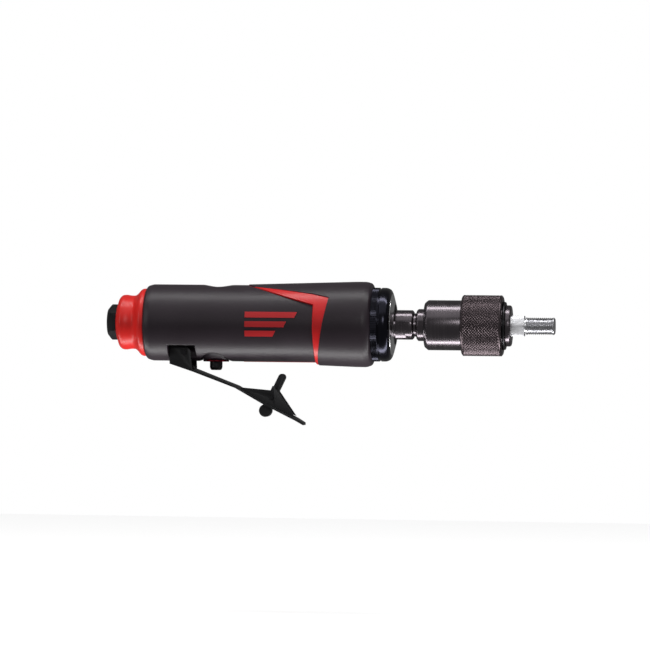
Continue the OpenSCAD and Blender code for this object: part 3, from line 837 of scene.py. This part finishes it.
@dataclass
class Inlet:
    """The tool's rear: exhaust ring, hexagonal bushing and its thread."""

    finishes: Finishes
    across_flats: float = 17.0
    ring_end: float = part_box("exhaust_ring")[1].x / MM
    slots: int = 12
    thread_r: float = 5.7
    pitch: float = 1.411

    def build(self, ribs: Tree) -> None:
        """Builds and dresses the rear's pieces.

        Args:
            ribs: the tree that makes the cutter for the exhaust slots.
        """
        f = self.finishes
        outside = rounded([(5.4, 9.9), (6.0, 11.2), (6.7, 13.7), (8.2, 15.05), (10.6, 15.2),
                           (12.6, 14.75), (15.4, 14.75), (17.0, 16.0), (18.7, 18.1), (19.8, 18.65),
                           (self.ring_end, 18.7), (self.ring_end, 17.2)], 0.9, 4)
        ring = lathe("exhaust_ring_shell", outside + [(18.4, 15), (14, 13), (8.3, 13), (8.3, 9.1),
                                                      (6.25, 9.1), (6.2, 9.9)], 192)
        cutter = ribs.grow("slots", f.red_ring.make(), Count=self.slots, Radius=12 * MM,
                           Station=6 * MM, Length=8 * MM, Width=1.5 * MM, Height=0.85 * MM)
        combine(ring, cutter)
        fit_out(ring, f.red_ring.make(), "housing", "ring_red", "exhaust_ring")
        corner = self.across_flats / math.sqrt(3)
        bushing = drum("inlet_bushing_hex", (3.1, 0, 0), "X", corner, 3.1, 6)
        cone = lathe("chamfer", [(0, 0), (0, 7.25), (2.1, corner + 0.05), (7, corner + 0.05),
                                 (7, 0)], 96, closed=False)
        combine(bushing, cone, "INTERSECT")
        shank = lathe("shank", [(6, 0), (6, 9), (25.9, 9), (26, 8), (37.4, 8), (37.4, 0)],
                      64, closed=False)
        combine(bushing, shank, "UNION")
        combine(bushing, drum("bore", (6, 0, 0), "X", 6.9, 7.0, 64))
        combine(bushing, drum("passage", (25, 0, 0), "X", 4.5, 14, 48))
        fit_out(bevelled(bushing, 0.22), f.oxide.make(), "housing", "black_steel", "inlet_bushing")
        winding = rolled_tree("inlet_thread_tree")
        oxide = bushing.data.materials[0]
        thread = winding.grow("inlet_thread", oxide, Columns=98, Sectors=97, Start=0.9 * MM,
                              Length=11 * MM, Radius=self.thread_r * MM,
                              Height=-0.75 * MM, Starts=1.0,
                              Turns=11 / self.pitch, Fade=12.0, Hands=0.0)
        thread = capped(thread, [(0.15, 6.3), (0.15, 6.88)],
                        [(12.6, 5.7), (12.6, 6.88), (0.15, 6.88)])
        fit_out(thread, oxide, "housing", "black_steel")


@dataclass
class Throttle:
    """The throttle button, its retainer, the lever and the lock lever."""

    finishes: Finishes
    button_x: float = 60.4
    button_low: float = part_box("valve_stem")[0].z / MM
    button_r: float = 3.5
    stem_r: float = 2.65
    bore_r: float = 3.6

    def upright(self, piece: bpy.types.Object) -> bpy.types.Object:
        """Stands a turned piece on the valve's vertical axis."""
        turn = Matrix.Rotation(-math.pi / 2, 4, "Y")
        piece.data.transform(Matrix.Translation((self.button_x * MM, 0, 0)) @ turn)
        return piece

    def build(self) -> None:
        """Builds and dresses the throttle's pieces."""
        f = self.finishes
        low = self.button_low
        tip = rounded([(low, 0), (low, 2.8), (low + 1.3, self.button_r), (-15.2, self.button_r),
                       (-15.2, self.stem_r), (-11, self.stem_r), (-10, 1.2), (-3, 1.2), (-3, 0)],
                      0.7, 5)
        stem = self.upright(lathe("throttle_button", tip, 64, False))
        fit_out(stem, f.oxide.make(), "valve", "black_steel", "valve_stem")
        ring = rounded([(-21.3, self.bore_r), (-21.3, 7.15), (-20.3, 7.15), (-20.3, 6.1),
                        (-13.6, 6.1), (-13.6, self.bore_r)], 0.35, 4)
        retainer = self.upright(lathe("button_retainer", ring, 96))
        for near, far in ((-9, -4.4), (4.4, 9)):
            combine(retainer, brick("spanner_slot", (59.7, near, -22), (61.1, far, -20.9)))
        # The retainer's finish is red darkened with painted shade.
        fit_out(retainer, f.painted_shade_red.make(), "housing", "retainer_red", "valve_retainer")
        coat = f.lever.make()
        for node, name, body, width in (
                ("throttle_lever", "throttle_lever_pressing", "throttle", 0.28),
                ("lock_lever", "lock_lever_casting", "lock", 0.45)):
            fit_out(softened(node, name, width), coat, body, "lever_steel", node)


@dataclass
class Nose:
    """The clamp collar, the bright bearing cap and the shaft seal."""

    finishes: Finishes
    ribs_n: int = 132
    rib_start: float = 147.4
    rib_end: float = 151.3

    def build(self, ribs: Tree) -> None:
        """Builds and dresses the nose's pieces.

        Args:
            ribs: the tree that makes the collar's ribs.
        """
        f = self.finishes
        steel = f.collar.make()
        outside = rounded([(147, 18.3), (147, 20.05), (151.6, 20.05), (151.8, 19.75),
                           (152.3, 19.75), (152.5, 20.3), (155.4, 20.3), (157.4, 19.4),
                           (158.25, 17.7), (158.3, 17.1)], 0.9, 5)
        collar = lathe("clamp_collar_ring", outside + [(157.1, 17.1), (157.1, 18.3)], 192)
        fit_out(collar, steel, "housing", "collar_steel", "clamp_collar")
        middle, length = (self.rib_start + self.rib_end) / 2, self.rib_end - self.rib_start
        grown = ribs.grow("clamp_collar_ribs", steel, Count=self.ribs_n, Radius=20.02 * MM,
                          Station=middle * MM, Length=length * MM, Width=0.36 * MM, Height=0.3 * MM)
        fit_out(grown, steel, "housing", "collar_steel")
        outside = rounded([(156.35, 11.1), (156.35, 18.0), (157, 18.0), (157, 17),
                           (158.5, 16.95), (160, 11.5), (159.8, 11.1)], 0.25, 3)
        cap = lathe("bearing_cap_cone", outside, 192)
        fit_out(cap, f.cap.make(), "housing", "cap_steel", "bearing_cap")
        outside = rounded([(156.5, 8.2), (156.5, 11), (159.5, 11), (159.7, 10.3),
                           (159.2, 9.2), (159.8, 8.2)], 0.4, 3)
        seal = lathe("shaft_seal_lip", outside, 128)
        fit_out(seal, f.seal.make(), "housing", "black_rubber", "shaft_seal")


@dataclass
class Chuck:
    """The spindle's front end, the chuck body, its knurled sleeve and its ring."""

    finishes: Finishes
    flats: float = 13.0
    flat_turn: float = -65.5
    knurls: int = 62
    sleeve_r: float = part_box("chuck_sleeve")[1].z / MM

    def spindle(self) -> bpy.types.Object:
        """The spindle with its carrier, neck and two wrench flats."""
        outline = rounded([(130.3, 0), (130.3, 13.5), (135, 13.5), (135, 7.5), (156.2, 7.5),
                           (156.2, 8.1), (169.5, 8.1), (170.3, 7.2), (170.3, 6.4), (171.7, 6.4),
                           (171.7, 5.5), (184, 5.5), (184, 0)], 0.25, 2)
        made = lathe("spindle_shaft", outline, 192, False)
        for side in (0, 180):
            block = brick("flat", (160.4, -10, self.flats / 2), (166.1, 10, 16))
            combine(made, turned(block, self.flat_turn + side))
        return bevelled(made, 0.12, 2, 40)

    def body(self) -> bpy.types.Object:
        """The chuck body with its hexagonal bore."""
        outline = rounded([(171.8, 5.6), (171.8, 7.8), (172.7, 8.8), (176.3, 8.8), (176.3, 12.2),
                           (178.2, 13.75), (200, 13.75), (200, 11.3), (219.4, 11.3),
                           (219.4, 10.8), (221, 10.8), (221, 11.3), (223.3, 11.3),
                           (224, 10.6), (224, 4.5)], 0.3, 3)
        made = lathe("chuck_body_turned", outline + [(198, 4.5), (184, 4.5), (184, 5.6)], 192)
        return combine(made, turned(drum("hex_bore", (212, 0, 0), "X", 6.49, 13.5, 6), 30))

    def build(self) -> None:
        """Builds and dresses the chuck's pieces."""
        f = self.finishes
        gunmetal = f.gunmetal.make()
        fit_out(self.spindle(), gunmetal, "spindle", "gun_steel", "spindle")
        fit_out(self.body(), gunmetal, "spindle", "gun_steel", "chuck_body")
        ring = lathe("retaining_ring_wire", rounded([(219.5, 10.9), (219.5, 13.2), (220.9, 13.2),
                                                     (220.9, 10.9)], 0.55, 4), 160)
        combine(ring, brick("ring_gap", (219, -1.2, 8), (222, 1.2, 16)))
        fit_out(ring, f.oxide.make(), "spindle", "cap_steel", "retaining_ring")
        diamonds = rolled_tree("knurl_tree")
        start, length, steel = 197.9, 20.3, f.knurled.make()
        sleeve = diamonds.grow("knurled_sleeve", steel, Columns=8 * 13 + 1,
                               Sectors=8 * self.knurls + 1, Start=start * MM, Length=length * MM,
                               Radius=self.sleeve_r * MM, Height=0.5 * MM, Turns=13.0,
                               Starts=float(self.knurls), Fade=40.0, Hands=0.8)
        sleeve = capped(sleeve, [(197.4, 16.55), (196.9, 15.9), (196.9, 14.1), (197.1, 13.9),
                                 (209.4, 13.9), (209.4, 11.5)],
                        [(218.7, 16.6), (219.3, 15.8), (219.3, 13.5), (219.1, 13.3), (214.9, 13.3),
                         (214.9, 11.5), (209.4, 11.5)])
        fit_out(sleeve, steel, "sleeve", "knurled_steel", "chuck_sleeve")


@dataclass
class Arbor:
    """The hexagonal shank and its threaded stud."""

    finishes: Finishes
    across_flats: float = 11.11
    stud_r: float = 4.76
    pitch: float = 1.058
    tip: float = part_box("arbor")[1].x / MM

    def build(self) -> None:
        """Builds and dresses the arbor's pieces."""
        f = self.finishes
        corner = self.across_flats / math.sqrt(3)
        shank = drum("arbor_shank", (214.9, 0, 0), "X", corner, 16.3, 6)
        ends = lathe("ends", [(198.6, 0), (198.6, 5.2), (199.8, 7), (208.9, 7), (208.9, 5.68),
                              (215.1, 5.68), (215.1, 7), (230.5, 7), (231.2, 6.0), (231.2, 0)],
                     96, closed=False)
        combine(turned(shank, 30), ends, "INTERSECT")
        neck = lathe("neck", [(231, 0), (231, 4.0), (232.2, 4.0), (232.2, 0)], 64, False)
        combine(shank, neck, "UNION")
        fit_out(bevelled(shank, 0.15), f.zinc.make(), "arbor", "zinc_steel", "arbor")
        start, length = 232.1, self.tip - 232.8
        turns, zinc = length / self.pitch, f.thread.make()
        winding = rolled_tree("stud_thread_tree")
        stud = winding.grow("arbor_stud_thread", zinc, Columns=int(turns * 10) + 1,
                            Sectors=97, Start=start * MM, Length=length * MM,
                            Radius=self.stud_r * MM, Height=0.62 * MM, Starts=1.0, Turns=turns,
                            Fade=14.0, Hands=0.0)
        stud = capped(stud, [(232.0, 4.2), (232.0, 0)], [(self.tip, 4.1), (self.tip, 0)])
        fit_out(stud, zinc, "arbor", "zinc_steel")


def softened(node: str, name: str, width: float) -> bpy.types.Object:
    """A copy of a node's solid with its loose triangles joined and its edges rounded.

    Args:
        node: the node to copy.
        name: the new piece's name.
        width: the round's width in millimetres.

    Returns:
        The object.
    """
    bm = bmesh.new()
    bm.from_mesh(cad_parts[node].data)
    bmesh.ops.remove_doubles(bm, verts=bm.verts, dist=2e-6)
    bmesh.ops.dissolve_limit(bm, angle_limit=math.radians(1.5), verts=bm.verts, edges=bm.edges)
    mesh = bpy.data.meshes.new(name)
    bm.to_mesh(mesh)
    bm.free()
    made = bpy.data.objects.new(name, mesh)
    bpy.context.scene.collection.objects.link(made)
    return bevelled(made, width, 3, 30)


@dataclass
class Inside:
    """The pieces that keep the frame's own shape and only take a finish."""

    finishes: Finishes

    def build(self) -> None:
        """Dresses every node that no piece has replaced."""
        f = self.finishes
        shown = {"side_mark": f.red_mark, "exhaust_felt": f.felt, "rotor_vanes": f.fibre,
                 "inlet_screen": f.brass, "valve_bushing": f.brass, "motor_housing": f.oxide,
                 "lever_pin": f.oxide, "lock_pin": f.oxide,
                 "inlet_o_ring": f.seal, "valve_o_ring": f.seal, "valve_poppet": f.seal}
        made: dict[str, bpy.types.Material] = {}
        for name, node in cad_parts.items():
            finish = shown.get(name, f.ground)
            if finish.name not in made:
                made[finish.name] = finish.make()
            node.data.materials.clear()
            node.data.materials.append(made[finish.name])
            log.info("%s: dressed with %s", name, finish.name)


@dataclass
class Studio:
    """A pale floor, a white surround, soft lights and the camera."""

    aim: tuple[float, float, float] = (0.1208, 0.0, -0.0005)
    azimuth: float = 7.3
    distance: float = 2.45
    lens: float = 246.2
    roll: float = 0.58
    surround: float = 0.13
    floor_z: float = -0.16
    floor_depth: float = 1.2

    def camera(self) -> None:
        """Places the camera."""
        turn = math.radians(self.azimuth)
        back = Vector((math.sin(turn), -math.cos(turn), 0))
        data = bpy.data.cameras.new("camera")
        data.lens = self.lens
        data.clip_start, data.clip_end = 0.05, 60
        made = bpy.data.objects.new("camera", data)
        bpy.context.scene.collection.objects.link(made)
        made.rotation_mode = "QUATERNION"
        made.location = Vector(self.aim) + back * self.distance
        look = (-back).to_track_quat("-Z", "Y")
        made.rotation_quaternion = look @ Quaternion((0, 0, 1), math.radians(self.roll))
        bpy.context.scene.camera = made

    def light(self, name: str, at: Sequence[float], size: tuple[float, float],
              watts: float) -> None:
        """Adds one rectangular soft light aimed at the tool.

        Args:
            name: its name.
            at: its place in metres.
            size: its sides in metres.
            watts: its power.
        """
        data = bpy.data.lights.new(name, "AREA")
        data.shape = "RECTANGLE"
        data.size, data.size_y = size
        data.energy = watts
        made = bpy.data.objects.new(name, data)
        bpy.context.scene.collection.objects.link(made)
        made.location = at
        aim = Vector(self.aim) - Vector(at)
        made.rotation_mode = "QUATERNION"
        made.rotation_quaternion = aim.to_track_quat("-Z", "Y")
        made.visible_camera = False

    def floor(self) -> None:
        """Makes the pale floor under the tool."""
        bm = bmesh.new()
        near, half = -4.0, 3.0
        corners = [(-half, near), (half, near), (half, self.floor_depth), (-half, self.floor_depth)]
        bm.faces.new([bm.verts.new((x, y, self.floor_z)) for x, y in corners])
        made = object_of("floor", bm)
        g = Graph("floor_white")
        white = (0.9, 0.9, 0.9, 1)
        made.data.materials.append(g.shade(Base_Color=white, Roughness=0.8, Emission_Color=white,
                                           Emission_Strength=0.82))
        made.visible_diffuse = made.visible_glossy = False

    def world(self) -> None:
        """Makes a dim surround behind a white view."""
        world = bpy.data.worlds.new("studio")
        world.use_nodes = True
        tree = world.node_tree
        dim = tree.nodes["Background"]
        dim.inputs["Color"].default_value = (1, 1, 1, 1)
        dim.inputs["Strength"].default_value = self.surround
        bright = tree.nodes.new("ShaderNodeBackground")
        bright.inputs["Color"].default_value = (1, 1, 1, 1)
        path, mix = tree.nodes.new("ShaderNodeLightPath"), tree.nodes.new("ShaderNodeMixShader")
        tree.links.new(path.outputs["Is Camera Ray"], mix.inputs["Fac"])
        tree.links.new(dim.outputs[0], mix.inputs[1])
        tree.links.new(bright.outputs[0], mix.inputs[2])
        tree.links.new(mix.outputs[0], tree.nodes["World Output"].inputs["Surface"])
        bpy.context.scene.world = world

    def build(self) -> None:
        """Builds the whole studio."""
        self.camera()
        self.floor()
        self.world()
        bpy.context.scene.view_settings.view_transform = "Standard"
        self.light("top_box", (0.12, -0.06, 0.70), (1.1, 0.12), 3.4)
        self.light("low_box", (0.12, -0.012, -0.15), (0.6, 0.03), 0.6)
        self.light("left_box", (-0.9, -0.9, 0.35), (0.3, 0.8), 1.8)
        self.light("front_box", (0.5, -1.8, 0.5), (0.5, 0.3), 3.2)
        self.light("floor_wash", (0.3, -0.9, 1.6), (2.4, 1.6), 6.0)


def main() -> None:
    """Builds the tool's pieces in order, then the studio."""
    finishes = Finishes()
    ribs = ring_tree()
    Inside(finishes).build()
    Grip(finishes).build()
    Inlet(finishes).build(ribs)
    Throttle(finishes).build()
    Nose(finishes).build(ribs)
    Chuck(finishes).build()
    Arbor(finishes).build()
    Studio().build()


if __name__ == "__main__":
    main()
